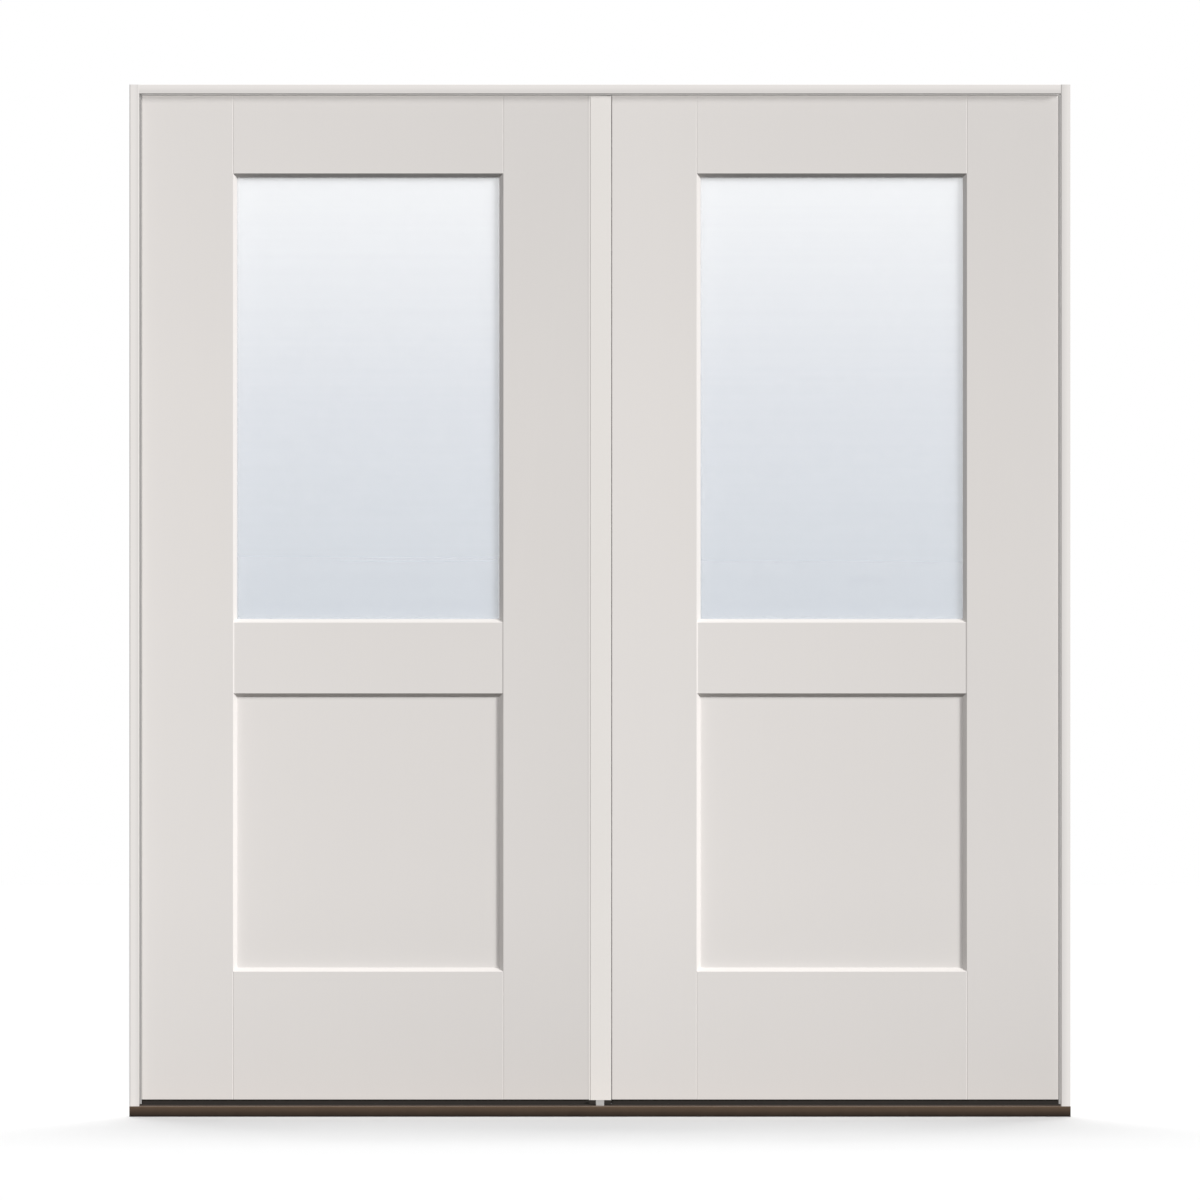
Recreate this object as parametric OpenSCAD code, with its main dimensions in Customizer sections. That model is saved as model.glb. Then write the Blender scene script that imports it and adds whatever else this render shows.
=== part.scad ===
// Glazed double entry door: two inward-opening moulded leaves in a rebated frame on a metal-clad sill.
// X runs along the width, -Y is the outside, +Z is up. The origin is under the meeting edge, at the
// outer face of the frame and the underside of the sill.
// The left leaf is the passive one: it carries the astragal and its bolts. The right leaf is the active one.

/* [Leaf] */
// Width of each leaf
leaf_w = 902; // [850:1:1000]
// Height of each leaf
leaf_h = 2014; // [1960:1:2400]
// Thickness of each leaf
leaf_t = 44.5; // [43:0.5:54]
// Thickness of the moulded skins
skin_t = 2.5; // [2:0.1:3]
// Face width of the stile at the hinges
hinge_stile_w = 189.5; // [160:0.5:220]
// Face width of the stile at the meeting edge
lock_stile_w = 171.5; // [150:0.5:210]
// Face height of the top rail
top_rail_h = 160; // [120:1:200]
// Face height of the middle rail
mid_rail_h = 140; // [100:1:200]
// Face height of the bottom rail
bottom_rail_h = 256; // [200:1:320]
// Height of the flat panel's opening, rail to rail
panel_open_h = 558; // [450:1:650]
// Width of the sloped edge round the panel and the glass
bevel_w = 8; // [5:0.5:11]
// Depth of the panel and of the glass below the face
recess_d = 10; // [7:0.5:11]
// Drop of the middle rail below the stiles
rail_drop = 1.2; // [0.6:0.1:1.6]
// Width of the sloped step at the ends of the middle rail
step_w = 2.4; // [1:0.1:4]
// Width of the seam lines where the stiles meet the rails
seam_w = 2; // [1:0.1:3]
// Depth of the seam lines
seam_d = 0.7; // [0.3:0.1:1.2]
// Width of the timber edge strips
edge_w = 32; // [30:1:45]
// Height of the top edge strip
top_strip_h = 40; // [25:1:60]
// Height of the bottom edge strip
bottom_strip_h = 60; // [40:1:90]
// Width of the lock block
lock_block_w = 80; // [60:1:95]
// Height of the lock block
lock_block_h = 300; // [200:1:400]

/* [Glazing] */
// Thickness of each pane
pane_t = 3.2; // [3:0.1:5]
// How far the panes reach behind the sloped edge
glass_bite = 12; // [11:0.5:15]
// Width of the moulded rim behind the sloped edge
rim_w = 8; // [6:0.5:10]
// Width of the spacer bar between the edges of the panes
spacer_w = 10; // [6:0.5:11]
// Width of the glazing surround
surround_w = 14; // [10:0.5:20]
// Gap between the panes' edge and the surround
glass_gap = 0.3; // [0.2:0.1:1]

/* [Frame] */
// Thickness of the jambs beside the leaves
jamb_wall = 14; // [13:0.5:20]
// Height of the stops above that wall
stop_rise = 5; // [4:0.5:12]
// Depth of the jambs through the wall
jamb_depth = 116; // [110:1:170]
// Gap between a leaf and its jamb
side_gap = 3; // [2.5:0.1:4]
// Gap between the leaves and the head
head_gap = 3; // [2:0.1:5]
// Gap between the two leaves, filled by the astragal
meeting_gap = 44; // [43:0.1:50]
// Gap between the stops and the leaves, filled by the weatherstrip
seal_gap = 5.5; // [4:0.1:8]
// How far the weatherstrip shows past the stops of the jambs
strip_lap = 4.5; // [3:0.1:8]
// How far the weatherstrip shows below the stop of the head
head_lap = 2.4; // [2:0.1:8]
// Chamfer on the frame's edges
edge_c = 1.2; // [0.5:0.1:2]
// Width of the kerf that holds the weatherstrip
kerf_w = 2.5; // [2:0.1:3]
// Depth of that kerf
kerf_d = 8; // [6:0.5:12]
// Radius of the fixing holes through the jambs
fixing_r = 3; // [2.5:0.1:4]
// Distance of the outer pair of fixing holes from the frame's top and foot
fixing_end = 142; // [110:1:170]
// Height of the inner pair of fixing holes above and below the frame's middle
fixing_inner = 370; // [200:1:480]

/* [Sill] */
// How far the sill's nose stands in front of the frame
sill_nose = 27; // [20:1:60]
// Height of the nose
nose_h = 20.2; // [15:0.1:20.6]
// Height of the tread under the leaves
deck_h = 21; // [20.8:0.1:30]
// Wall of the metal tread
tread_t = 2.4; // [1.8:0.1:3]
// Chamfer of the nose's top edge
nose_c = 1.6; // [0.8:0.1:2.4]
// Number of grip grooves along the tread
groove_n = 6; // [2:1:8]
// Width of a grip groove
groove_w = 2.4; // [1:0.1:4]
// Depth of a grip groove
groove_d = 0.8; // [0.4:0.1:1.2]
// Width of the threshold cap
cap_w = 40; // [34:1:40]
// How far the threshold cap stands in front of the leaves
cap_lead = 3.5; // [2:0.1:5]
// Height of the threshold cap above the tread
cap_rise = 3; // [2:0.1:6]
// Depth of the channel that holds the threshold cap
channel_d = 8; // [5:0.5:10]
// Height of the sweeps under the leaves
sweep_h = 8.6; // [7:0.1:14]
// Clearance under the sweeps
sweep_clear = 0.4; // [0.3:0.1:1]

/* [Hinges] */
// Height of the hinges
hinge_h = 102; // [88:1:115]
// Distance from the leaf's top to the top hinge
hinge_top = 178; // [150:1:220]
// Distance from the leaf's foot to the bottom hinge
hinge_foot = 246; // [200:1:300]
// Distance of the pins behind the leaf's inner face
pin_offset = 6; // [5.8:0.1:8]
// Radius of the pins
pin_r = 3; // [2.5:0.1:3.2]
// Outside radius of the knuckles
knuckle_r = 5; // [4.6:0.1:5.2]
// Thickness of the hinge plates
plate_t = 2.4; // [2:0.1:3]
// Reach of the plates into the leaf's edge
plate_reach = 36; // [32:0.5:38]
// Corner radius of the plates
plate_r = 16; // [6:0.5:16]
// Radius of the screws
screw_r = 2.2; // [1.8:0.1:2.4]
// Radius of the screws' countersunk heads
screw_head_r = 4.4; // [4:0.1:4.8]
// Length of the screws in the jambs, below the plates
jamb_screw_l = 9; // [7:0.5:10]
// Length of the screws in the leaves, below the plates
leaf_screw_l = 22; // [14:0.5:25]

/* [Meeting edge] */
// How far the active leaf's meeting edge slopes back towards the outside
lock_bevel = 1.6; // [1.5:0.1:3]
// Width of the astragal's cover
cover_w = 40; // [34:0.1:40.4]
// Thickness of the astragal's cover
cover_t = 5; // [3:0.1:8]
// Depth of the neck behind the cover
cover_gap = 0.8; // [0.5:0.1:1.5]
// How far the astragal reaches below the leaves
cover_drop = 1; // [0.5:0.1:2]
// Depth of the astragal's stem between the leaves
stem_d = 40; // [38:0.5:42]
// Gap between the stem and the active leaf, filled by the astragal's seal
stem_clear = 8; // [7:0.1:10]
// Width of the astragal's seal
astragal_seal_w = 8; // [6:0.5:9]
// Width of the end piece below the astragal
boot_w = 16.6; // [12:0.1:24]
// Depth of that end piece
boot_d = 9.5; // [8:0.1:10]
// Radius of the bolts
bolt_r = 4; // [3:0.1:4.5]
// Distance of the bolts from the stem's open face
bolt_inset = 8; // [7:0.1:9]
// Distance of the bolts behind the leaf's outer face
bolt_back = 15; // [12:0.5:18]
// Travel of the top bolt
top_throw = 13; // [10:0.5:13.5]
// Travel of the bottom bolt
bottom_throw = 20; // [16:0.5:22]

/* [Hidden] */
$fn = 48;

LEFT = -1;
RIGHT = 1;
TOP = 0;
MIDDLE = 1;
BOTTOM = 2;

// How far a cutter runs past the faces that it opens
cut = 1;
// Clearance of a fixed piece in its pocket
fit = 0.2;
// Radial clearance of the pins in the knuckles
pin_fit = 0.05;
// Clearance of a moving piece beside a fixed one
run = 0.4;
// Clearance between the weatherstrip and the closed leaves
strip_clear = 0.3;

opening_w = leaf_w - hinge_stile_w - lock_stile_w;
glass_open_h = leaf_h - top_rail_h - mid_rail_h - bottom_rail_h - panel_open_h;
glass_z = bottom_rail_h + panel_open_h + mid_rail_h;
floor_d = recess_d + skin_t;
back_slope = bevel_w * floor_d / recess_d;
panel_wall = skin_t * sqrt(bevel_w * bevel_w + recess_d * recess_d) / recess_d;
glass_w = opening_w - 2 * bevel_w + 2 * glass_bite;
glass_h = glass_open_h - 2 * bevel_w + 2 * glass_bite;
spacer_t = leaf_t - 2 * floor_d - 2 * pane_t;
core_t = leaf_t - 2 * skin_t;

visible_w = jamb_wall + stop_rise;
frame_w = 2 * (jamb_wall + side_gap + leaf_w) + meeting_gap;
cap_z = deck_h + cap_rise;
leaf_z = cap_z + sweep_clear + sweep_h;
frame_h = leaf_z + leaf_h + head_gap + jamb_wall;
head_z = frame_h - jamb_wall;
back_y = jamb_depth;
face_y = jamb_depth - leaf_t;
leaf_mid_y = face_y + leaf_t / 2;
stop_y = face_y - seal_gap;
strip_t = seal_gap - strip_clear;
strip_tip = visible_w + strip_lap;
head_strip_tip = visible_w + head_lap;
kerf_edge = 0.4;
kerf_x = jamb_wall + kerf_edge;

hinge_x = frame_w / 2 - jamb_wall - side_gap / 2;
hinge_y = back_y + pin_offset;
plate_l = pin_offset + plate_reach;
hinge_zs = [
  leaf_z + leaf_h - hinge_top - hinge_h / 2,
  leaf_z + (leaf_h - hinge_top + hinge_foot) / 2,
  leaf_z + hinge_foot + hinge_h / 2
];
knuckle_n = 5;
knuckle_l = hinge_h / knuckle_n;
knuckle_gap = 0.3;
FRAME_KNUCKLES = [0, 2, 4];
LEAF_KNUCKLES = [1, 3];
pin_cap_inset = 0.4;
pin_cap_r = knuckle_r - pin_cap_inset;
pin_cap_h = 2;
pin_cap_c = 1;
countersink_land = 0.3;
countersink_h = plate_t - countersink_land;
screw_sink = 0.1;
// Shares of a plate's reach and height at its near and far pair of screws
SCREW_SHARES = [[0.32, 0.37], [0.74, 0.15]];
// Places of the screws on a plate: distance from the pin, height from the hinge's middle
screw_spots = [
  for (share = SCREW_SHARES, end = [-1, 1])
    [pin_offset + plate_reach * share[0], end * hinge_h * share[1]]
];

nose_y = -sill_nose;
cap_y = face_y - cap_lead;
cap_c = 1;
channel_y = cap_y - fit;
channel_end = cap_y + cap_w + fit;
channel_z = deck_h - channel_d;
groove_pitch = (channel_y - nose_y) / (groove_n + 1);

sweep_inset = 3;
sweep_base_t = 2.6;
fin_t = 3;
fin_pitch = (leaf_t - 2 * sweep_inset - fin_t) / 2;
barb_w = 2.6;
barb_h = 8;
// Shares of the leaf's thickness at the sweep's barbs
BARB_SHARES = [0.3, 0.7];
barb_ys = [for (share = BARB_SHARES) leaf_t * share];

stem_left = -meeting_gap / 2;
stem_right = meeting_gap / 2 - stem_clear;
stem_foot = leaf_z - cover_drop;
cover_top_gap = 0.5;
cover_top = head_z - stop_rise - head_lap - cover_top_gap;
cover_c = 1.2;
// Distance of the astragal's seal behind the bolts
astragal_seal_set = 12;
astragal_seal_y = face_y + bolt_back + astragal_seal_set;
astragal_barb = 2;
astragal_barb_y = astragal_seal_y + astragal_seal_w / 2 - astragal_barb / 2;
// Clearance between the astragal's seal and the active leaf
astragal_seal_clear = 0.4;
astragal_seal_t = stem_clear - astragal_seal_clear;
// Distance of the end piece's face behind the cover's face
boot_set = 0.8;
boot_lead = cover_gap + cover_t - boot_set;
// Clearance of the sweep below the astragal from the active leaf's sweep, at its front and at its back lip
sweep_swing_gap = 3;
sweep_lip_gap = 0.3;
// Depth of that back lip
sweep_lip_d = 7.5;

bolt_y = face_y + bolt_back;
bolt_hole_gap = 1;
bolt_hole_r = bolt_r + bolt_hole_gap;
bolt_tip = 0.5;
bolt_tip_c = 1;
bolt_plate_w = 12;
bolt_plate_t = 2;
bolt_plate_z = [30, 130];
bolt_pocket_z = [50, 106];
bolt_slot_w = 7;
bolt_thumb_w = 6;
bolt_thumb_z = [84, 98];
bolt_thumb_sink = 0.8;
strike_l = 50;
strike_w = 20;
strike_t = 2;

PAINT = "#dbd7d3";
FRAME_PAINT = "#e5e1de";
COVER_PAINT = "#e3dfdb";
BRONZE = "#4a3e34";
DARK = "#302c28";
GREY = "#b2afac";
STRIP_GREY = "#a8a5a2";
STEEL = "#c9c5c0";
TIMBER = "#c9a877";
EDGE_PAINT = "#d8d4d0";
COMPOSITE = "#8f8a80";
FOAM = "#e9dcae";
CLEAR = [0.86, 0.90, 0.94, 0.45];

// Places

// A leaf's own frame: X from the hinge edge to the lock edge, Y from its outer face inwards, Z from its foot
module in_leaf(side) {
  mirror([side == RIGHT ? 1 : 0, 0, 0])
    translate([-frame_w / 2 + jamb_wall + side_gap, face_y, leaf_z]) children();
}

// A hinge's own frame: Z along the pin from the hinge's middle, Y towards the outside,
// the leaf towards +X and the jamb towards -X
module at_hinge(side, which) {
  mirror([side == RIGHT ? 1 : 0, 0, 0])
    translate([-hinge_x, hinge_y, hinge_zs[which]])
      mirror([0, 1, 0]) children();
}

module at_hinges(side) {
  for (which = [TOP, MIDDLE, BOTTOM]) at_hinge(side, which) children();
}

// A bolt's own frame: X from the stem's open face inwards, Z from the stem's end inwards
module at_bolt(which) {
  translate([stem_right, bolt_y, which == TOP ? leaf_z + leaf_h : stem_foot])
    mirror([1, 0, 0])
      mirror([0, 0, which == TOP ? 1 : 0]) children();
}

module at_panel() {
  translate([hinge_stile_w, 0, bottom_rail_h]) children();
}

module at_glass() {
  translate([hinge_stile_w, 0, glass_z]) children();
}

// The same form seen from the leaf's inner face
module from_inside() {
  translate([0, leaf_t, 0]) mirror([0, 1, 0]) children();
}

// A section in Y and Z carried along X
module along_x(from, to, points) {
  translate([from, 0, 0]) rotate([90, 0, 90]) linear_extrude(to - from) polygon(points);
}

// Moulded leaf

function dish(w, slope, d) =
  [[0, -cut], [w, -cut], [w, 0], [w - slope, d], [slope, d], [0, 0]];

function tray(w, slope, d) = [[0, 0], [w, 0], [w - slope, d], [slope, d]];

// A form of rectangular plan whose four sides slope: two crossed prisms of the given sections
module crossed(w, h, across, up) {
  intersection() {
    linear_extrude(h) polygon(across);
    translate([w, 0, 0]) rotate([0, -90, 0]) linear_extrude(w) polygon(up);
  }
}

// The sloped recess that shows on the face
module recess(h) {
  crossed(opening_w, h, dish(opening_w, bevel_w, recess_d), dish(h, bevel_w, recess_d));
}

// The back of that recess, grown by the width of its wall
module recess_back(h, wall) {
  w = opening_w + 2 * wall;
  rise = h + 2 * wall;
  translate([-wall, 0, -wall])
    crossed(w, rise, tray(w, back_slope, floor_d), tray(rise, back_slope, floor_d));
}

module recess_backs() {
  at_panel() recess_back(panel_open_h, panel_wall);
  at_glass() recess_back(glass_open_h, rim_w);
}

// The middle rail lies a little below the stiles, with a sloped step at each end
module mid_rail_drop() {
  translate([hinge_stile_w, 0, bottom_rail_h + panel_open_h - bevel_w / 2])
    linear_extrude(mid_rail_h + bevel_w) polygon(dish(opening_w, step_w, rail_drop));
}

// A fine V line along each stile where it meets the top and bottom rails
module seams() {
  spans = [[-cut, bottom_rail_h], [glass_z + glass_open_h, leaf_h + cut]];
  half = seam_w / 2;
  for (x = [hinge_stile_w, leaf_w - lock_stile_w], span = spans)
    translate([x, 0, span[0]])
      linear_extrude(span[1] - span[0])
        polygon([[-half, 0], [-half, -cut], [half, -cut], [half, 0], [0, seam_d]]);
}

// One moulded skin: a sheet with the panel dished in it and the glass opening cut through it
module moulded_skin() {
  difference() {
    union() {
      cube([leaf_w, skin_t, leaf_h]);
      recess_backs();
    }
    at_panel() recess(panel_open_h);
    at_glass() recess(glass_open_h);
    at_glass() translate([bevel_w, 0, bevel_w])
      cube([opening_w - 2 * bevel_w, floor_d + cut, glass_open_h - 2 * bevel_w]);
    mid_rail_drop();
    seams();
  }
}

// The active leaf's meeting edge slopes, so that its outer corner clears the astragal as it swings
module meeting_bevel(side) {
  run_out = lock_bevel * cut / leaf_t;
  if (side == RIGHT)
    translate([0, 0, -sweep_h - cut])
      linear_extrude(leaf_h + sweep_h + 2 * cut)
        polygon([[leaf_w - lock_bevel - run_out, -cut], [leaf_w + 2 * cut, -cut],
                 [leaf_w + 2 * cut, leaf_t + cut], [leaf_w + run_out, leaf_t + cut]]);
}

module outer_skin(side) {
  color(PAINT) in_leaf(side) difference() {
    moulded_skin();
    meeting_bevel(side);
  }
}

module inner_skin(side) {
  color(PAINT) difference() {
    in_leaf(side) difference() {
      from_inside() moulded_skin();
      meeting_bevel(side);
    }
    at_hinges(side) plate_seat();
  }
}

module hinge_stile(side) {
  color(EDGE_PAINT) difference() {
    in_leaf(side) translate([0, skin_t, 0]) cube([edge_w, core_t, leaf_h]);
    at_hinges(side) {
      plate_seat();
      screw_pilots(leaf_screw_l);
    }
  }
}

module lock_stile(side) {
  color(EDGE_PAINT) in_leaf(side) difference() {
    translate([leaf_w - edge_w, skin_t, 0]) cube([edge_w, core_t, leaf_h]);
    meeting_bevel(side);
  }
}

module top_strip(side) {
  color(TIMBER) in_leaf(side)
    translate([edge_w, skin_t, leaf_h - top_strip_h])
      cube([leaf_w - 2 * edge_w, core_t, top_strip_h]);
}

// The bottom strip is kerfed for the sweep's barbs
module bottom_strip(side) {
  color(COMPOSITE) in_leaf(side) difference() {
    translate([edge_w, skin_t, 0]) cube([leaf_w - 2 * edge_w, core_t, bottom_strip_h]);
    for (y = barb_ys)
      translate([0, y - barb_w / 2 - fit, -cut])
        cube([leaf_w, barb_w + 2 * fit, barb_h + fit + cut]);
  }
}

module lock_block_form() {
  translate([leaf_w - edge_w - lock_block_w, skin_t, glass_z - mid_rail_h / 2 - lock_block_h / 2])
    cube([lock_block_w, core_t, lock_block_h]);
}

module lock_block(side) {
  color(TIMBER) in_leaf(side) lock_block_form();
}

// A block of the panes' outline, grown by the given amount, through the given depths
module pane_form(grow, from, to) {
  middle_x = hinge_stile_w + opening_w / 2;
  middle_z = glass_z + glass_open_h / 2;
  translate([middle_x - glass_w / 2 - grow, from, middle_z - glass_h / 2 - grow])
    cube([glass_w + 2 * grow, to - from, glass_h + 2 * grow]);
}

module surround_form() {
  pane_form(glass_gap + surround_w, floor_d, leaf_t - floor_d);
}

// Foam fills the leaf between the skins and the edge strips
module foam_core(side) {
  color(FOAM) in_leaf(side) difference() {
    translate([edge_w, skin_t, bottom_strip_h])
      cube([leaf_w - 2 * edge_w, core_t, leaf_h - bottom_strip_h - top_strip_h]);
    recess_backs();
    from_inside() recess_backs();
    surround_form();
    lock_block_form();
  }
}

// Glazing

module glazing_surround(side) {
  color(FRAME_PAINT) in_leaf(side) difference() {
    surround_form();
    pane_form(glass_gap, floor_d - cut, leaf_t - floor_d + cut);
  }
}

module outer_pane(side) {
  color(CLEAR) in_leaf(side) pane_form(0, floor_d, floor_d + pane_t);
}

module inner_pane(side) {
  color(CLEAR) in_leaf(side) pane_form(0, leaf_t - floor_d - pane_t, leaf_t - floor_d);
}

module spacer(side) {
  color(GREY) in_leaf(side) difference() {
    pane_form(0, floor_d + pane_t, floor_d + pane_t + spacer_t);
    pane_form(-spacer_w, floor_d, leaf_t - floor_d);
  }
}

// Sweep under a leaf: a base with three fins below and two barbs above
module sweep(side) {
  color(DARK) in_leaf(side) difference() {
    union() {
      translate([0, sweep_inset, -sweep_base_t]) cube([leaf_w, leaf_t - 2 * sweep_inset, sweep_base_t]);
      for (i = [0:2])
        translate([0, sweep_inset + i * fin_pitch, -sweep_h]) cube([leaf_w, fin_t, sweep_h]);
      for (y = barb_ys)
        translate([edge_w + fit, y - barb_w / 2, -sweep_base_t])
          cube([leaf_w - 2 * edge_w - 2 * fit, barb_w, sweep_base_t + barb_h]);
    }
    meeting_bevel(side);
  }
}

// Frame

// Plan section of a jamb from its outer face: stop in front, rebate behind, eased edges
function jamb_section() = [
  [edge_c, 0], [visible_w - edge_c, 0], [visible_w, edge_c], [visible_w, stop_y], [jamb_wall, stop_y],
  [jamb_wall, back_y - edge_c], [jamb_wall - edge_c, back_y], [edge_c, back_y],
  [0, back_y - edge_c], [0, edge_c]
];

module jamb_profile() {
  difference() {
    polygon(jamb_section());
    translate([kerf_x, stop_y - kerf_d]) square([kerf_w, kerf_d + cut]);
  }
}

module fixing_holes() {
  fixing_outer = frame_h / 2 - fixing_end;
  for (rise = [-fixing_outer, -fixing_inner, fixing_inner, fixing_outer])
    translate([-frame_w / 2 - cut, leaf_mid_y, frame_h / 2 + rise])
      rotate([0, 90, 0]) cylinder(r = fixing_r, h = jamb_wall + 2 * cut);
}

// A jamb stands on the sill, with pockets for the hinge plates in its rebate
module jamb(side) {
  color(FRAME_PAINT) difference() {
    mirror([side == RIGHT ? 1 : 0, 0, 0]) difference() {
      translate([-frame_w / 2, 0, 0]) linear_extrude(frame_h) jamb_profile();
      fixing_holes();
    }
    sill_form();
    at_hinges(side) mirror([1, 0, 0]) {
      plate_seat();
      screw_pilots(jamb_screw_l);
    }
  }
}

// The head sits between the jambs, and its ends are cut to their section
module head_jamb() {
  inner_w = frame_w - 2 * jamb_wall;
  color(FRAME_PAINT) difference() {
    translate([-inner_w / 2, 0, frame_h]) rotate([0, 90, 0]) linear_extrude(inner_w) jamb_profile();
    for (side = [LEFT, RIGHT])
      mirror([side == RIGHT ? 1 : 0, 0, 0])
        translate([-inner_w / 2 - cut, -cut, head_z - stop_rise - cut])
          cube([stop_rise + cut, stop_y + cut, visible_w + 2 * cut]);
    at_bolt(TOP) translate([0, 0, -head_gap]) strike_seat();
  }
}

// Foam strip behind a stop: a bulb that the leaf closes on, and a barb in the kerf
module strip_profile(tip) {
  bulb_r = strip_t / 2;
  translate([jamb_wall + fit, stop_y]) square([tip - bulb_r - jamb_wall - fit, strip_t]);
  translate([tip - bulb_r, stop_y + bulb_r]) circle(r = bulb_r);
  translate([kerf_x + fit, stop_y - kerf_d + fit]) square([kerf_w - 2 * fit, kerf_d]);
}

module side_weatherstrip(side) {
  color(STRIP_GREY) mirror([side == RIGHT ? 1 : 0, 0, 0])
    translate([-frame_w / 2, 0, cap_z + fit])
      linear_extrude(head_z - cap_z - 2 * fit) strip_profile(strip_tip);
}

module head_weatherstrip() {
  strip_l = frame_w - 2 * strip_tip - 2 * fit;
  color(STRIP_GREY) translate([-strip_l / 2, 0, frame_h])
    rotate([0, 90, 0]) linear_extrude(strip_l) strip_profile(head_strip_tip);
}

// Sill

function sill_section(channel) = concat(
  [[nose_y, 0], [nose_y, nose_h - nose_c], [nose_y + nose_c, nose_h], [channel_y, deck_h]],
  channel ? [[channel_y, channel_z], [channel_end, channel_z]] : [],
  [[channel_end, deck_h], [back_y - edge_c, deck_h], [back_y, deck_h - edge_c], [back_y, 0]]
);

function sill_base_section() = [
  [nose_y + tread_t, 0], [nose_y + tread_t, nose_h - tread_t],
  [channel_y - tread_t, deck_h - tread_t], [channel_y - tread_t, channel_z - tread_t],
  [channel_end + tread_t, channel_z - tread_t], [channel_end + tread_t, deck_h - tread_t],
  [back_y - tread_t, deck_h - tread_t], [back_y - tread_t, 0]
];

// The sill's outside, as the jambs stand on it
module sill_form() {
  along_x(-frame_w / 2 - cut, frame_w / 2 + cut, sill_section(false));
}

// Shallow grooves that give grip, along the tread in front of the cap
module grip_grooves() {
  for (i = [1:groove_n]) {
    y = nose_y + i * groove_pitch;
    z = nose_h + (deck_h - nose_h) * i / (groove_n + 1);
    along_x(-frame_w / 2 - cut, frame_w / 2 + cut,
            [[y - groove_w / 2, z + cut], [y - groove_w / 2, z], [y, z - groove_d],
             [y + groove_w / 2, z], [y + groove_w / 2, z + cut]]);
  }
}

// Hole in the sill that takes the bottom bolt
module sill_bolt_hole() {
  at_bolt(BOTTOM) translate([bolt_inset, 0, -bottom_throw - 2 * cut])
    cylinder(r = bolt_hole_r, h = bottom_throw + 2 * cut);
}

module sill_tread() {
  color(BRONZE) difference() {
    along_x(-frame_w / 2, frame_w / 2, sill_section(true));
    along_x(-frame_w / 2 - cut, frame_w / 2 + cut, sill_base_section());
    grip_grooves();
    sill_bolt_hole();
  }
}

module sill_base() {
  color(COMPOSITE) difference() {
    along_x(-frame_w / 2, frame_w / 2, sill_base_section());
    sill_bolt_hole();
  }
}

// Low cap in the tread's channel, just under the sweeps
module threshold_cap() {
  half = frame_w / 2 - jamb_wall - fit;
  cap_end = cap_y + cap_w;
  color(DARK) difference() {
    along_x(-half, half, [[cap_y, channel_z], [cap_y, cap_z - cap_c], [cap_y + cap_c, cap_z],
                          [cap_end - cap_c, cap_z], [cap_end, cap_z - cap_c], [cap_end, channel_z]]);
    sill_bolt_hole();
  }
}

// Hinges

module plate_outline(grow) {
  half = hinge_h / 2 + grow;
  reach = plate_l + grow;
  translate([0, -half]) square([reach - plate_r, 2 * half]);
  translate([reach - plate_r, plate_r - half]) square([plate_r, 2 * (half - plate_r)]);
  for (end = [-1, 1]) translate([reach - plate_r, end * (half - plate_r)]) circle(r = plate_r);
}

// A flat plate on the leaf's side of the pin, between the given distances from the leaf's edge
module plate_form(grow, from, to) {
  translate([side_gap / 2 + from, 0, 0]) rotate([90, 0, 90]) linear_extrude(to - from) plate_outline(grow);
}

// Pocket for a plate
module plate_seat() {
  plate_form(fit, -cut, plate_t + fit / 2);
}

// A row of things at the screws of one plate, along X from the plate's face
module at_screws() {
  for (spot = screw_spots)
    translate([side_gap / 2, spot[0], spot[1]]) rotate([0, 90, 0]) children();
}

module screw_pilots(length) {
  at_screws() cylinder(r = screw_r + fit, h = plate_t + length + fit);
}

module screw_holes() {
  at_screws() {
    translate([0, 0, -cut]) cylinder(r = screw_r + fit, h = plate_t + 2 * cut);
    cylinder(r1 = screw_head_r + fit, r2 = screw_r + fit, h = countersink_h);
  }
}

// Countersunk screws of one plate, with a pointed end
module plate_screws(length) {
  end = plate_t + length;
  at_screws() rotate_extrude() polygon([
    [0, screw_sink], [screw_head_r, screw_sink], [screw_r, countersink_h],
    [screw_r, end - 2 * screw_r], [0, end]
  ]);
}

module knuckles(list, r, gap) {
  for (i = list)
    translate([0, 0, -hinge_h / 2 + i * knuckle_l + gap / 2]) cylinder(r = r, h = knuckle_l - gap);
}

// One hinge plate with its own knuckles, cut clear of the other plate's
module hinge_plate(own, other) {
  difference() {
    union() {
      plate_form(0, 0, plate_t);
      knuckles(own, knuckle_r, knuckle_gap);
    }
    knuckles(other, knuckle_r + run, -knuckle_gap);
    translate([0, 0, -hinge_h / 2 - cut]) cylinder(r = pin_r + pin_fit, h = hinge_h + 2 * cut);
    screw_holes();
  }
}

module hinge_frame_plate(side, which) {
  color(STEEL) at_hinge(side, which) mirror([1, 0, 0]) hinge_plate(FRAME_KNUCKLES, LEAF_KNUCKLES);
}

module hinge_leaf_plate(side, which) {
  color(STEEL) at_hinge(side, which) hinge_plate(LEAF_KNUCKLES, FRAME_KNUCKLES);
}

// Pins with a low cap at each end
module hinge_pins(side) {
  half = hinge_h / 2 + knuckle_gap / 2;
  end = half + pin_cap_h;
  color(STEEL) at_hinges(side) rotate_extrude() polygon([
    [0, -end], [pin_cap_r - pin_cap_c, -end], [pin_cap_r, -end + pin_cap_c], [pin_cap_r, -half],
    [pin_r, -half], [pin_r, half],
    [pin_cap_r, half], [pin_cap_r, end - pin_cap_c], [pin_cap_r - pin_cap_c, end], [0, end]
  ]);
}

module frame_hinge_screws() {
  color(STEEL) for (side = [LEFT, RIGHT]) at_hinges(side) mirror([1, 0, 0]) plate_screws(jamb_screw_l);
}

module leaf_hinge_screws(side) {
  color(STEEL) at_hinges(side) plate_screws(leaf_screw_l);
}

// Meeting edge

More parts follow.
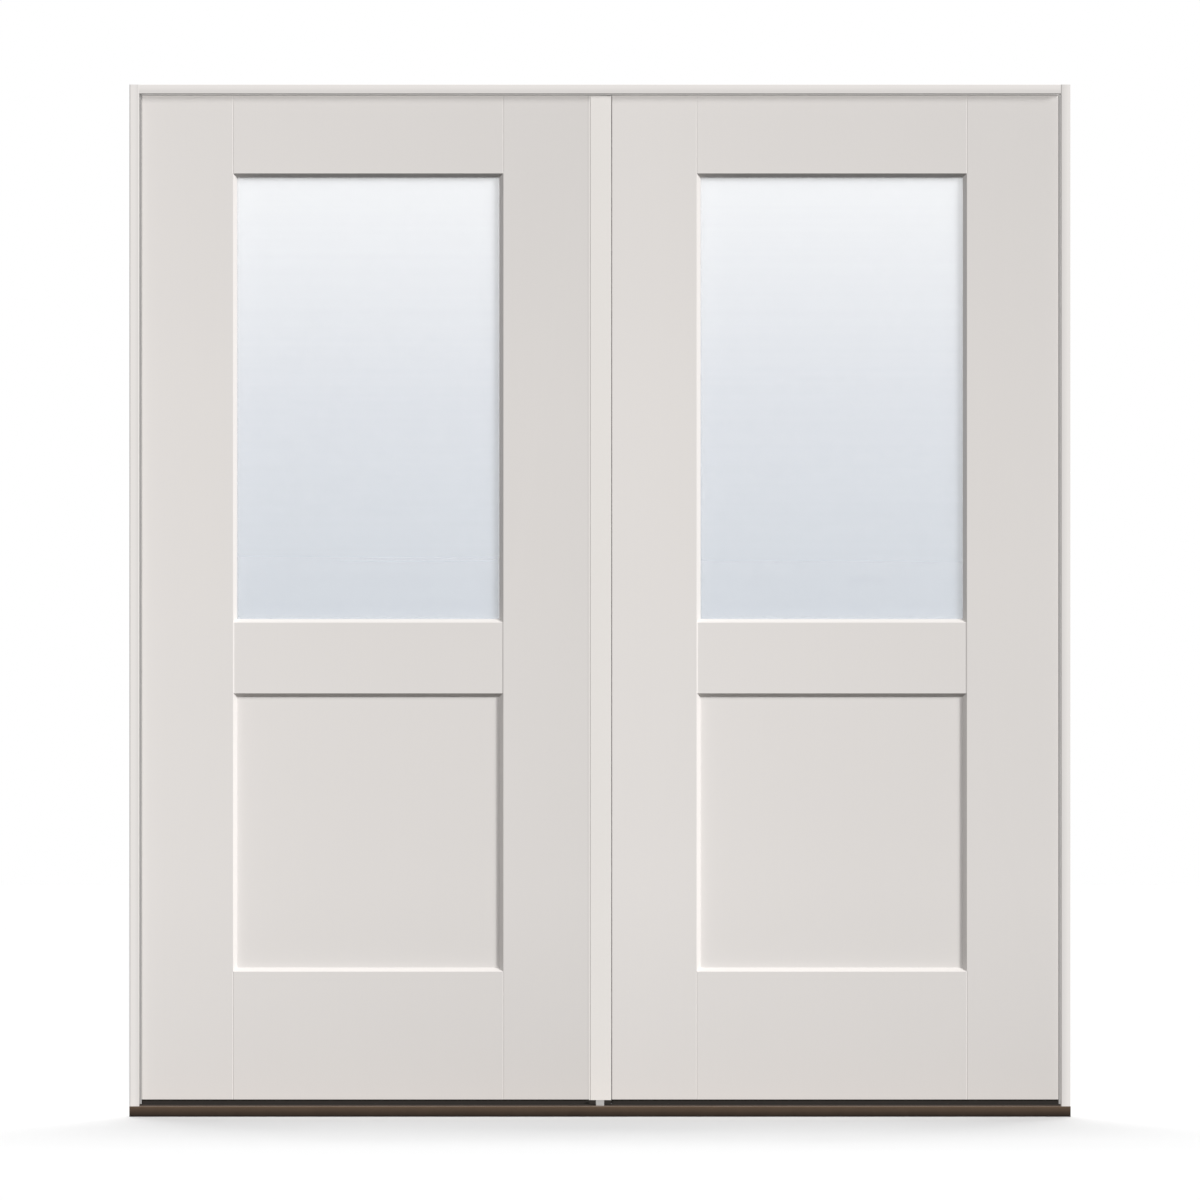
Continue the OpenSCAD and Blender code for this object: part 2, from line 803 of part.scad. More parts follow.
// Bar on the passive leaf's edge: its stem fills the gap between the leaves, its cover stands proud of them
module astragal() {
  cover_back = face_y - cover_gap;
  cover_face = cover_back - cover_t;
  half = cover_w / 2;
  color(COVER_PAINT) difference() {
    translate([0, 0, stem_foot]) {
      linear_extrude(cover_top - stem_foot) polygon([
        [-half + cover_c, cover_face], [half - cover_c, cover_face], [half, cover_face + cover_c],
        [half, cover_back], [stem_right, cover_back], [stem_right, face_y],
        [-half, face_y], [-half, cover_face + cover_c]
      ]);
      translate([stem_left, face_y, 0]) cube([stem_right - stem_left, stem_d, leaf_h + cover_drop]);
    }
    translate([stem_right - astragal_barb - fit, astragal_barb_y - fit, stem_foot - cut])
      cube([astragal_barb + fit + cut, astragal_barb + 2 * fit, leaf_h + cover_drop + 2 * cut]);
    for (which = [TOP, BOTTOM]) at_bolt(which) bolt_cavity();
  }
}

// Bulb seal on the stem's open face, against the active leaf's edge, held by a barb
module astragal_seal() {
  bulb_r = astragal_seal_w / 2;
  color(GREY) translate([0, 0, leaf_z]) linear_extrude(leaf_h) {
    translate([stem_right, astragal_seal_y]) square([astragal_seal_t - bulb_r, astragal_seal_w]);
    intersection() {
      translate([stem_right + astragal_seal_t - bulb_r, astragal_seal_y + bulb_r]) circle(r = bulb_r);
      translate([stem_right, astragal_seal_y]) square([astragal_seal_t, astragal_seal_w]);
    }
    translate([stem_right - astragal_barb, astragal_barb_y]) square([2 * astragal_barb, astragal_barb]);
  }
}

// End piece below the front of the stem, down to the sill
module astragal_boot() {
  color(GREY) translate([-boot_w / 2, face_y - boot_lead, leaf_z - sweep_h])
    cube([boot_w, boot_lead + boot_d, sweep_h - cover_drop]);
}

// Sweep below the stem, behind that end piece, with a way through for the bottom bolt
module astragal_sweep() {
  left = stem_left + fit;
  right = meeting_gap / 2 - sweep_swing_gap;
  lip = meeting_gap / 2 - sweep_lip_gap;
  front = face_y + boot_d + fit;
  back = face_y + stem_d;
  color(DARK) difference() {
    translate([0, 0, leaf_z - sweep_h]) linear_extrude(sweep_h - cover_drop) polygon([
      [left, front], [right, front], [right, back - sweep_lip_d], [lip, back - sweep_lip_d],
      [lip, back], [left, back]
    ]);
    at_bolt(BOTTOM) translate([bolt_inset, 0, -sweep_h]) cylinder(r = bolt_r + run, h = sweep_h + cut);
  }
}

module bolt_plate_form(grow) {
  translate([0, -bolt_plate_w / 2 - grow, bolt_plate_z[0] - grow])
    cube([bolt_plate_t, bolt_plate_w + 2 * grow, bolt_plate_z[1] - bolt_plate_z[0] + 2 * grow]);
}

// Room for a bolt, its thumb piece and its face plate
module bolt_cavity() {
  bolt_plate_form(fit);
  translate([-cut, -bolt_plate_w / 2 - fit, bolt_plate_z[0] - fit])
    cube([2 * cut, bolt_plate_w + 2 * fit, bolt_plate_z[1] - bolt_plate_z[0] + 2 * fit]);
  translate([0, -bolt_slot_w / 2, bolt_pocket_z[0]])
    cube([bolt_inset, bolt_slot_w, bolt_pocket_z[1] - bolt_pocket_z[0]]);
  translate([bolt_inset, 0, -cut]) cylinder(r = bolt_r + fit, h = bolt_pocket_z[1] + cut);
}

module bolt_plates() {
  color(STEEL) for (which = [TOP, BOTTOM]) at_bolt(which) difference() {
    bolt_plate_form(0);
    translate([-cut, -bolt_slot_w / 2, bolt_pocket_z[0]])
      cube([bolt_plate_t + 2 * cut, bolt_slot_w, bolt_pocket_z[1] - bolt_pocket_z[0]]);
  }
}

// Rod with the thumb piece that slides it, drawn back
module sliding_bolt(which) {
  color(STEEL) at_bolt(which) {
    translate([bolt_inset, 0, bolt_tip]) rotate_extrude() polygon([
      [0, 0], [bolt_r - bolt_tip_c, 0], [bolt_r, bolt_tip_c],
      [bolt_r, bolt_thumb_z[1] - bolt_tip], [0, bolt_thumb_z[1] - bolt_tip]
    ]);
    translate([bolt_thumb_sink, -bolt_thumb_w / 2, bolt_thumb_z[0]])
      cube([bolt_inset - bolt_thumb_sink, bolt_thumb_w, bolt_thumb_z[1] - bolt_thumb_z[0]]);
  }
}

// Plate in the head that takes the top bolt
module strike_form(grow) {
  translate([bolt_inset - strike_l / 2 - grow, -strike_w / 2 - grow, -strike_t])
    cube([strike_l + 2 * grow, strike_w + 2 * grow, strike_t]);
}

module strike_seat() {
  strike_form(fit);
  translate([bolt_inset, 0, -top_throw + bolt_tip]) cylinder(r = bolt_hole_r, h = top_throw);
}

module head_strike() {
  color(STEEL) at_bolt(TOP) translate([0, 0, -head_gap]) difference() {
    strike_form(0);
    translate([bolt_inset, 0, -strike_t - cut]) cylinder(r = bolt_hole_r, h = strike_t + 2 * cut);
  }
}

jamb(LEFT);  // left_jamb
jamb(RIGHT);  // right_jamb
head_jamb();
sill_tread();
sill_base();
threshold_cap();
side_weatherstrip(LEFT);  // left_weatherstrip
side_weatherstrip(RIGHT);  // right_weatherstrip
head_weatherstrip();
head_strike();
outer_skin(LEFT);  // left_outer_skin
inner_skin(LEFT);  // left_inner_skin
hinge_stile(LEFT);  // left_hinge_stile
lock_stile(LEFT);  // left_lock_stile
top_strip(LEFT);  // left_top_strip
bottom_strip(LEFT);  // left_bottom_strip
foam_core(LEFT);  // left_foam_core
lock_block(LEFT);  // left_lock_block
glazing_surround(LEFT);  // left_glazing_surround
outer_pane(LEFT);  // left_outer_pane
inner_pane(LEFT);  // left_inner_pane
spacer(LEFT);  // left_spacer
sweep(LEFT);  // left_sweep
outer_skin(RIGHT);  // right_outer_skin
inner_skin(RIGHT);  // right_inner_skin
hinge_stile(RIGHT);  // right_hinge_stile
lock_stile(RIGHT);  // right_lock_stile
top_strip(RIGHT);  // right_top_strip
bottom_strip(RIGHT);  // right_bottom_strip
foam_core(RIGHT);  // right_foam_core
lock_block(RIGHT);  // right_lock_block
glazing_surround(RIGHT);  // right_glazing_surround
outer_pane(RIGHT);  // right_outer_pane
inner_pane(RIGHT);  // right_inner_pane
spacer(RIGHT);  // right_spacer
sweep(RIGHT);  // right_sweep
hinge_frame_plate(LEFT, TOP);  // left_top_hinge_frame_plate
hinge_frame_plate(LEFT, MIDDLE);  // left_middle_hinge_frame_plate
hinge_frame_plate(LEFT, BOTTOM);  // left_bottom_hinge_frame_plate
hinge_leaf_plate(LEFT, TOP);  // left_top_hinge_leaf_plate
hinge_leaf_plate(LEFT, MIDDLE);  // left_middle_hinge_leaf_plate
hinge_leaf_plate(LEFT, BOTTOM);  // left_bottom_hinge_leaf_plate
hinge_frame_plate(RIGHT, TOP);  // right_top_hinge_frame_plate
hinge_frame_plate(RIGHT, MIDDLE);  // right_middle_hinge_frame_plate
hinge_frame_plate(RIGHT, BOTTOM);  // right_bottom_hinge_frame_plate
hinge_leaf_plate(RIGHT, TOP);  // right_top_hinge_leaf_plate
hinge_leaf_plate(RIGHT, MIDDLE);  // right_middle_hinge_leaf_plate
hinge_leaf_plate(RIGHT, BOTTOM);  // right_bottom_hinge_leaf_plate
hinge_pins(LEFT);  // left_hinge_pins
hinge_pins(RIGHT);  // right_hinge_pins
frame_hinge_screws();
leaf_hinge_screws(LEFT);  // left_leaf_hinge_screws
leaf_hinge_screws(RIGHT);  // right_leaf_hinge_screws
astragal();
astragal_seal();
astragal_boot();
astragal_sweep();
bolt_plates();
sliding_bolt(TOP);  // top_bolt
sliding_bolt(BOTTOM);  // bottom_bolt
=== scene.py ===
"""Looks of the glazed double entry door: finishes, cover lip, foot pads, hinge screws, light and camera.

X runs along the width, -Y is the outside, +Z is up, and all lengths are in metres.
"""

import logging
import math
from dataclasses import dataclass
from enum import Enum
from typing import Dict, List, Mapping, Optional, Sequence, Tuple, Union

import bpy
import numpy as np
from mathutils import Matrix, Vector


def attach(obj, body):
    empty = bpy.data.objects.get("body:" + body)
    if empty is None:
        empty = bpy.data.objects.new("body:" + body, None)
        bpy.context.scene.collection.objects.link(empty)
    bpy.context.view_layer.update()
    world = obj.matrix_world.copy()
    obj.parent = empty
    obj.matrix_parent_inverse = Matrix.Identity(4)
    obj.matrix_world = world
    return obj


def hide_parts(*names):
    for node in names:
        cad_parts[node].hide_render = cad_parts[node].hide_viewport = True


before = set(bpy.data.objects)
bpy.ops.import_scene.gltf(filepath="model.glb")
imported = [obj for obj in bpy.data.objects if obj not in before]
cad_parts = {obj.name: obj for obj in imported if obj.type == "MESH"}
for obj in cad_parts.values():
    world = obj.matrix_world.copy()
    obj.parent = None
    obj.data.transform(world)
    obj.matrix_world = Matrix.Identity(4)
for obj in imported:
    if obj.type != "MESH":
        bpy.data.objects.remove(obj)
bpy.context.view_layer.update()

log = logging.getLogger("door")

Colour = Tuple[float, float, float]
Triple = Tuple[float, float, float]
Term = Union[float, int, "Sock"]
Sockets = Dict[Union[str, int], object]
Span = Tuple[float, float]
Shape = Tuple[np.ndarray, List[List[int]]]
Stops = Sequence[Tuple[float, Colour]]

# Middle of a noise that runs from 0 to 1
MIDDLE = 0.5
NOISE_ROUGHNESS = 0.55
# Points of a CAD mesh that are closer than this are one point
WELD_REACH = 1e-6
# Turn of a surface, in degrees, that counts as an edge to be rounded
SHARP_TURN = 28.0
EDGE_STEPS = 2


class Side(Enum):
    """The two leaves, by the sign of their X."""

    LEFT = -1
    RIGHT = 1

    @property
    def prefix(self) -> str:
        """Start of this side's node names."""
        return self.name.lower()

    @property
    def body(self) -> str:
        """Body that this side's leaf belongs to."""
        return "passive_leaf" if self is Side.LEFT else "active_leaf"


class Run(Enum):
    """Direction that strokes, grain or drawn lines follow."""

    ALONG_X = (1, 0, 0)
    ALONG_Y = (0, 1, 0)
    ALONG_Z = (0, 0, 1)

    def stretch(self, along: float, across: float) -> Triple:
        """Scales that draw a pattern out along this direction.

        Args:
            along: pattern cells per metre along the run.
            across: pattern cells per metre across it.

        Returns:
            The scale of each axis.
        """
        x, y, z = (along if axis else across for axis in self.value)
        return x, y, z


class Axis(Enum):
    """One of a point's coordinates, by its place."""

    X = 0
    Y = 1
    Z = 2


def shade(colour: Colour, factor: float) -> Colour:
    """A colour made lighter or darker by one factor."""
    red, green, blue = (channel * factor for channel in colour)
    return red, green, blue


class Sock:
    """One output of a material's nodes; arithmetic on it adds Math nodes."""

    def __init__(self, graph: "Graph", socket: bpy.types.NodeSocket) -> None:
        """Keeps the socket with the graph that it belongs to."""
        self.graph = graph
        self.socket = socket

    def math(self, operation: str, *terms: Term) -> "Sock":
        """Adds one Math node.

        Args:
            operation: the node's operation.
            terms: its inputs in order, this socket among them.

        Returns:
            The node's output.
        """
        step = self.graph.node("ShaderNodeMath", {"operation": operation}, dict(enumerate(terms)))
        return step["Value"]

    def __add__(self, other: Term) -> "Sock":
        """This plus the other."""
        return self.math("ADD", self, other)

    def __radd__(self, other: Term) -> "Sock":
        """The other plus this."""
        return self.math("ADD", other, self)

    def __sub__(self, other: Term) -> "Sock":
        """This less the other."""
        return self.math("SUBTRACT", self, other)

    def __rsub__(self, other: Term) -> "Sock":
        """The other less this."""
        return self.math("SUBTRACT", other, self)

    def __mul__(self, other: Term) -> "Sock":
        """This times the other."""
        return self.math("MULTIPLY", self, other)

    def __rmul__(self, other: Term) -> "Sock":
        """The other times this."""
        return self.math("MULTIPLY", other, self)

    def __truediv__(self, other: Term) -> "Sock":
        """This over the other."""
        return self.math("DIVIDE", self, other)

    def __rtruediv__(self, other: Term) -> "Sock":
        """The other over this."""
        return self.math("DIVIDE", other, self)

    def floor(self) -> "Sock":
        """The whole number below this."""
        return self.math("FLOOR", self)

    def between(self, low: float, high: float) -> "Sock":
        """0 at low, 1 at high, straight between them and held outside."""
        return self.graph.node(
            "ShaderNodeMapRange", {"clamp": True}, {"Value": self, "From Min": low, "From Max": high}
        )["Result"]

    def about(self, size: float) -> "Sock":
        """A noise as a swing of the given size about nothing."""
        return (self - MIDDLE) * size

    def blend(self, other: "Sock", share: float) -> "Sock":
        """This by its share plus the other by the rest."""
        return self * share + other * (1.0 - share)


class Step:
    """One node, whose outputs are read by name or number."""

    def __init__(self, graph: "Graph", made: bpy.types.Node) -> None:
        """Keeps the node with its graph."""
        self.graph = graph
        self.made = made

    def __getitem__(self, key: Union[str, int]) -> Sock:
        """One output of the node."""
        return Sock(self.graph, self.made.outputs[key])


class Graph:
    """The nodes of one material or of the surroundings."""

    def __init__(self, tree: bpy.types.NodeTree) -> None:
        """Starts from an emptied tree."""
        self.tree = tree
        tree.nodes.clear()

    def node(
        self,
        kind: str,
        settings: Optional[Mapping[str, object]] = None,
        sockets: Optional[Sockets] = None,
    ) -> Step:
        """Adds any node.

        Args:
            kind: the node's type.
            settings: its properties, set first; "stops" gives a ramp's places and colours.
            sockets: values or links of its inputs, by name or number.

        Returns:
            The node, ready to be read.
        """
        made = self.tree.nodes.new(kind)
        for key, value in (settings or {}).items():
            if key == "stops":
                self._set_stops(made, value)
            else:
                setattr(made, key, value)
        self._feed(made, sockets or {})
        return Step(self, made)

    def _set_stops(self, made: bpy.types.Node, stops: Stops) -> None:
        """Gives a ramp its places and colours."""
        elements = made.color_ramp.elements
        while len(elements) < len(stops):
            elements.new(MIDDLE)
        for element, (place, colour) in zip(elements, stops):
            element.position = place
            element.color = (*colour, 1.0)

    def _feed(self, made: bpy.types.Node, sockets: Sockets) -> None:
        """Links or sets inputs of a node."""
        for key, value in sockets.items():
            target = made.inputs[key]
            if isinstance(value, Sock):
                self.tree.links.new(value.socket, target)
            elif isinstance(value, tuple) and len(value) == 3 and target.type == "RGBA":
                target.default_value = (*value, 1.0)
            else:
                target.default_value = value

    def place(self) -> Sock:
        """The point on the piece, in its own metres."""
        return self.node("ShaderNodeTexCoord")["Object"]

    def stretched(self, point: Sock, scale: Triple) -> Sock:
        """The point with each axis scaled."""
        return self.node("ShaderNodeMapping", sockets={"Vector": point, "Scale": scale})["Vector"]

    def along(self, point: Sock, axis: Axis) -> Sock:
        """One of the point's coordinates."""
        return self.node("ShaderNodeSeparateXYZ", sockets={"Vector": point})[axis.name]

    def noise(self, point: Sock, scale: float, detail: float = 2.0, twist: float = 0.0) -> Sock:
        """Soft noise from 0 to 1.

        Args:
            point: where it is read.
            scale: cells to the point's unit.
            detail: octaves of finer noise.
            twist: how far it bends itself.

        Returns:
            The noise.
        """
        sockets = {
            "Vector": point,
            "Scale": scale,
            "Detail": detail,
            "Roughness": NOISE_ROUGHNESS,
            "Distortion": twist,
        }
        return self.node("ShaderNodeTexNoise", sockets=sockets)[0]

    def drawn(self, point: Sock, run: Run, scales: Span, detail: float = 2.0, twist: float = 0.0) -> Sock:
        """Soft noise from 0 to 1, drawn out along a run.

        Args:
            point: where it is read.
            run: the direction that it follows.
            scales: cells per metre along the run and across it.
            detail: octaves of finer noise.
            twist: how far it bends itself.

        Returns:
            The noise.
        """
        return self.noise(self.stretched(point, run.stretch(*scales)), 1.0, detail, twist)

    def cells(self, point: Sock, scale: float) -> Sock:
        """Distance to the nearest of scattered points, as in foam or granules."""
        return self.node("ShaderNodeTexVoronoi", sockets={"Vector": point, "Scale": scale})["Distance"]

    def mix(self, share: Term, first: object, second: object) -> Sock:
        """A colour between two others.

        Args:
            share: 0 for the first, 1 for the second.
            first: a colour or a colour socket.
            second: a colour or a colour socket.

        Returns:
            The mixed colour.
        """
        settings = {"data_type": "RGBA", "clamp_factor": True}
        return self.node("ShaderNodeMix", settings, {0: share, 6: first, 7: second})[2]

    def ramp(self, share: Sock, stops: Stops) -> Sock:
        """A colour read off a ramp."""
        return self.node("ShaderNodeValToRGB", {"stops": stops}, {"Fac": share})["Color"]

    def relief(self, height: Sock, depth: float, strength: float) -> Sock:
        """A normal that follows a height.

        Args:
            height: the height from 0 to 1.
            depth: how far 1 stands above 0, in metres.
            strength: share of the effect that is kept.

        Returns:
            The normal.
        """
        sockets = {"Height": height, "Distance": depth, "Strength": strength}
        return self.node("ShaderNodeBump", sockets=sockets)["Normal"]


@dataclass(frozen=True)
class Finish:
    """What every finish has: a name, and a material that is made once."""

    name: str

    def material(self) -> bpy.types.Material:
        """The finish as a material, made once and kept under its name."""
        title = "finish_" + self.name
        known = bpy.data.materials.get(title)
        if known:
            return known
        material = bpy.data.materials.new(title)
        material.use_nodes = True
        graph = Graph(material.node_tree)
        shader = graph.node("ShaderNodeBsdfPrincipled", sockets=self.lay(graph))
        graph.node("ShaderNodeOutputMaterial", sockets={"Surface": shader["BSDF"]})
        return material

    def lay(self, graph: Graph) -> Sockets:
        """Builds the nodes of the finish and gives the shader's sockets."""
        raise NotImplementedError


@dataclass(frozen=True)
class Toned(Finish):
    """A finish that is mixed from tones of one colour."""

    colour: Colour

    def tone(self, factor: float) -> Colour:
        """The colour made lighter or darker."""
        return shade(self.colour, factor)


@dataclass(frozen=True)
class Fade:
    """Painted shade: a slow change of tone along one axis, from its dark end to its light end."""

    axis: Axis
    dark_at: float
    light_at: float
    share: float


@dataclass(frozen=True)
class SatinPaint(Toned):
    """Satin paint: slow clouds of tone, fine peel, and faint strokes along one direction.

    Its colour is the lightest tone; clouds and strokes darken it, and its fades darken it further as painted
    shade.
    """

    run: Run = Run.ALONG_Z
    rough: float = 0.42
    swing: float = 0.033
    peel: float = 0.12
    # Painted shade: fades darken the colour towards edges, corners and ends where shade falls.
    fades: Tuple[Fade, ...] = ()
    cloud_scale: float = 2.4
    cloud_share: float = 0.7
    stroke_scales: Span = (3.0, 340.0)
    stroke_gloss: float = 0.06
    peel_scale: float = 620.0
    peel_share: float = 0.6
    peel_gloss: float = 0.10
    depth: float = 0.00012

    def lay(self, graph: Graph) -> Sockets:
        """Mixes two tones by clouds, strokes and slow fades of painted shade; peel and strokes make the
        relief.
        """
        point = graph.place()
        cloud = graph.noise(point, self.cloud_scale, detail=3.0)
        strokes = graph.drawn(point, self.run, self.stroke_scales)
        peel = graph.noise(point, self.peel_scale)
        swing = self.swing + sum(fade.share for fade in self.fades)
        share = cloud.blend(strokes, self.cloud_share) * (self.swing / swing)
        # Each fade adds painted shade along its axis.
        for fade in self.fades:
            light = graph.along(point, fade.axis).between(fade.dark_at, fade.light_at)
            share = share + light * (fade.share / swing)
        return {
            "Base Color": graph.mix(share, self.tone(1.0 - swing), self.colour),
            "Roughness": self.rough + peel.about(self.peel_gloss) + strokes.about(self.stroke_gloss),
            "Normal": graph.relief(peel.blend(strokes, self.peel_share), self.depth, self.peel),
            "Specular IOR Level": 0.30,
        }


@dataclass(frozen=True)
class Timber(Toned):
    """Bare laminated timber: growth lines, pores and strips glued side by side."""

    run: Run = Run.ALONG_Z
    strip: float = 0.022
    strip_share: float = 0.12
    line_scales: Span = (1.6, 95.0)
    line_tones: Tuple[Span, ...] = ((0.30, 0.62), (0.48, 1.0), (0.70, 1.28))
    line_gloss: float = 0.2
    pore_scales: Span = (30.0, 1500.0)
    pore_edge: float = 0.42
    pore_share: float = 2.4
    pore_tone: float = 0.42
    rough: float = 0.58
    depth: float = 0.0003
    relief: float = 0.35

    def lay(self, graph: Graph) -> Sockets:
        """Mixes early and late wood by drawn-out noise, with dark pores and a tone for each strip."""
        point = graph.place()
        lines = graph.drawn(point, self.run, self.line_scales, detail=4.0, twist=0.6)
        pores = graph.drawn(point, self.run, self.pore_scales, detail=1.0)
        strips = graph.node(
            "ShaderNodeTexWhiteNoise",
            {"noise_dimensions": "1D"},
            {"W": (graph.along(point, Axis.Y) / self.strip).floor()},
        )["Value"]
        grain = graph.ramp(lines, [(place, self.tone(factor)) for place, factor in self.line_tones])
        dark = (self.pore_edge - pores) * self.pore_share + strips * self.strip_share
        return {
            "Base Color": graph.mix(dark, grain, self.tone(self.pore_tone)),
            "Roughness": self.rough + lines.about(self.line_gloss),
            "Normal": graph.relief(lines.blend(pores, 0.5), self.depth, self.relief),
            "Specular IOR Level": 0.30,
        }


@dataclass(frozen=True)
class Granular(Toned):
    """A pressed or moulded mass: specks of a second tone and a grainy face."""

    grain: float = 900.0
    contrast: float = 0.5
    rough: float = 0.7
    relief: float = 0.25
    speck_share: float = 0.6
    specks_to_cloud: float = 22.0
    cloud_gloss: float = 0.2
    depth: float = 0.0003

    def lay(self, graph: Graph) -> Sockets:
        """Mixes two tones by scattered cells and soft noise, which also make the relief."""
        point = graph.place()
        specks = graph.cells(point, self.grain)
        cloud = graph.noise(point, self.grain / self.specks_to_cloud, detail=3.0)
        share = specks.blend(cloud, self.speck_share)
        half = self.contrast / 2.0
        return {
            "Base Color": graph.mix(share, self.tone(1.0 - half), self.tone(1.0 + half)),
            "Roughness": self.rough + cloud.about(self.cloud_gloss),
            "Normal": graph.relief(share, self.depth, self.relief),
            "Specular IOR Level": 0.25,
        }


@dataclass(frozen=True)
class DrawnMetal(Toned):
    """Metal with fine lines along the way it was drawn or brushed, and small scuffs."""

    run: Run = Run.ALONG_Z
    metal: float = 1.0
    rough: float = 0.34
    swing: float = 0.25
    line_scales: Span = (5.0, 1400.0)
    line_share: float = 0.6
    line_gloss: float = 0.16
    scuff_scale: float = 46.0
    scuff_gloss: float = 0.12
    depth: float = 0.00008
    relief: float = 0.35

    def lay(self, graph: Graph) -> Sockets:
        """Mixes two tones by drawn lines; lines and scuffs change the gloss and the relief."""
        point = graph.place()
        lines = graph.drawn(point, self.run, self.line_scales)
        scuffs = graph.noise(point, self.scuff_scale, detail=5.0, twist=0.8)
        share = lines.blend(scuffs, self.line_share)
        return {
            "Base Color": graph.mix(share, self.tone(1.0 - self.swing), self.tone(1.0 + self.swing)),
            "Metallic": self.metal,
            "Roughness": self.rough + lines.about(self.line_gloss) + scuffs.about(self.scuff_gloss),
            "Normal": graph.relief(lines, self.depth, self.relief),
        }


@dataclass(frozen=True)
class AnodisedNose(Toned):
    """Bronze anodised extrusion: drawn lines along the sill, with painted shade that darkens towards the
    foot of its nose.
    """

    # Painted shade: the tone runs from dark at the foot to the full colour at the top.
    foot: float = 0.0
    top: float = 0.0205
    dark: float = 0.07
    height_share: float = 0.8
    line_scales: Span = (2.0, 1100.0)
    line_tone: float = 0.22
    line_gloss: float = 0.14
    scuff_scale: float = 30.0
    scuff_tone: float = 0.14
    scuff_gloss: float = 0.12
    rough: float = 0.46
    depth: float = 0.0001
    relief: float = 0.3

    def lay(self, graph: Graph) -> Sockets:
        """Mixes foot and top tones by height as painted shade, with drawn lines and worn scuffs in tone and
        gloss.
        """
        point = graph.place()
        lines = graph.drawn(point, Run.ALONG_X, self.line_scales, detail=3.0)
        scuffs = graph.noise(point, self.scuff_scale, detail=5.0, twist=0.5)
        height = graph.along(point, Axis.Z).between(self.foot, self.top)
        share = height * self.height_share + lines.about(self.line_tone) + scuffs.about(self.scuff_tone)
        return {
            "Base Color": graph.mix(share, self.tone(self.dark), self.colour),
            "Metallic": 0.1,
            "Specular IOR Level": 0.15,
            "Roughness": self.rough + lines.about(self.line_gloss) + scuffs.about(self.scuff_gloss),
            "Normal": graph.relief(lines, self.depth, self.relief),
        }


@dataclass(frozen=True)
class Rubber(Toned):
    """Soft black or grey seal: bloomed face with a fine moulded grain along it."""

    run: Run = Run.ALONG_X
    rough: float = 0.74
    bloom: float = 0.35
    bloom_scale: float = 40.0
    bloom_share: float = 0.7
    bloom_gloss: float = 0.2
    grain_scales: Span = (60.0, 900.0)
    depth: float = 0.0002
    relief: float = 0.3

    def lay(self, graph: Graph) -> Sockets:
        """Mixes clean and bloomed tones by noise; grain along the run makes the relief."""
        point = graph.place()
        bloom = graph.noise(point, self.bloom_scale, detail=4.0)
        grain = graph.drawn(point, self.run, self.grain_scales)
        share = bloom.blend(grain, self.bloom_share)
        return {
            "Base Color": graph.mix(share, self.tone(1.0 - self.bloom), self.tone(1.0 + self.bloom)),
            "Roughness": self.rough + bloom.about(self.bloom_gloss),
            "Normal": graph.relief(grain, self.depth, self.relief),
            "Specular IOR Level": 0.25,
        }


@dataclass(frozen=True)
class PaneGlass(Finish):
    """Clear double glazing with a painted reflection of a bright sky: pale at the top, blue-grey towards the
    foot.
    """

    foot: float = 0.995
    top: float = 1.879
    body: float = 0.36
    # Painted reflection of the sky, from the foot to the top of the glass
    stops: Tuple[Tuple[float, Colour], ...] = (
        (0.0, (0.544, 0.605, 0.678)),
        (0.5, (0.705, 0.744, 0.811)),
        (1.0, (0.948, 0.963, 0.992)),
    )
    band_scales: Triple = (0.15, 0.15, 26.0)
    band_tone: float = 0.08
    band_body: float = 0.04
    band_gloss: float = 0.03
    rough: float = 0.06

    def lay(self, graph: Graph) -> Sockets:
        """Reads the painted sky reflection off a ramp by height, with faint level bands; a clear coat gives
        the gloss.
        """
        point = graph.place()
        height = graph.along(point, Axis.Z).between(self.foot, self.top)
        bands = graph.noise(graph.stretched(point, self.band_scales), 1.0, detail=3.0)
        return {
            "Base Color": graph.ramp(height + bands.about(self.band_tone), self.stops),
            "Alpha": self.body + bands.about(self.band_body),
            "Roughness": self.rough + bands.about(self.band_gloss),
            "Specular IOR Level": 0.5,
            "Coat Weight": 0.4,
            "Coat Roughness": 0.02,
        }


@dataclass(frozen=True)
class FloorPaint(Toned):
    """Plain pale floor with a faint mottle."""

    mottle_scale: float = 0.8
    swing: float = 0.015

    def lay(self, graph: Graph) -> Sockets:
        """Mixes two close tones by slow noise."""
        mottle = graph.noise(graph.place(), self.mottle_scale)
        return {
            "Base Color": graph.mix(mottle, self.tone(1.0 - self.swing), self.tone(1.0 + self.swing)),
            "Roughness": 0.9,
            "Specular IOR Level": 0.1,
        }


def dress(node: str, finish: Finish) -> bpy.types.Object:
    """Gives a CAD node its finish.

    Args:
        node: the node's name.
        finish: what it is made of.

    Returns:
        The node's object.
    """
    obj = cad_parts[node]
    obj.data.materials.clear()
    obj.data.materials.append(finish.material())
    log.info("%s: %s", node, finish.name)
    return obj


def soften(obj: bpy.types.Object, width: float) -> None:
    """Rounds a CAD node's sharp edges by welding its triangles and adding a narrow bevel.

    Args:
        obj: the node's object.
        width: width of the rounding.
    """
    weld = obj.modifiers.new("weld", "WELD")
    weld.merge_threshold = WELD_REACH
    bevel = obj.modifiers.new("soft_edges", "BEVEL")
    bevel.width = width
    bevel.segments = EDGE_STEPS
    bevel.limit_method = "ANGLE"
    bevel.angle_limit = math.radians(SHARP_TURN)
    bevel.use_clamp_overlap = True


def mesh_piece(name: str, points: np.ndarray, faces: Sequence[Sequence[int]]) -> bpy.types.Object:
    """Makes a flat-shaded mesh object at the origin.

    Args:
        name: the piece's name.
        points: its points, one row each, in metres.
        faces: the point numbers of each face, outwards.

    Returns:
        The object, linked to the scene.
    """
    mesh = bpy.data.meshes.new(name)
    mesh.from_pydata(points.tolist(), [], faces)
    mesh.polygons.foreach_set("use_smooth", np.zeros(len(mesh.polygons), dtype=bool))
    mesh.update()
    obj = bpy.data.objects.new(name, mesh)
    bpy.context.scene.collection.objects.link(obj)
    return obj


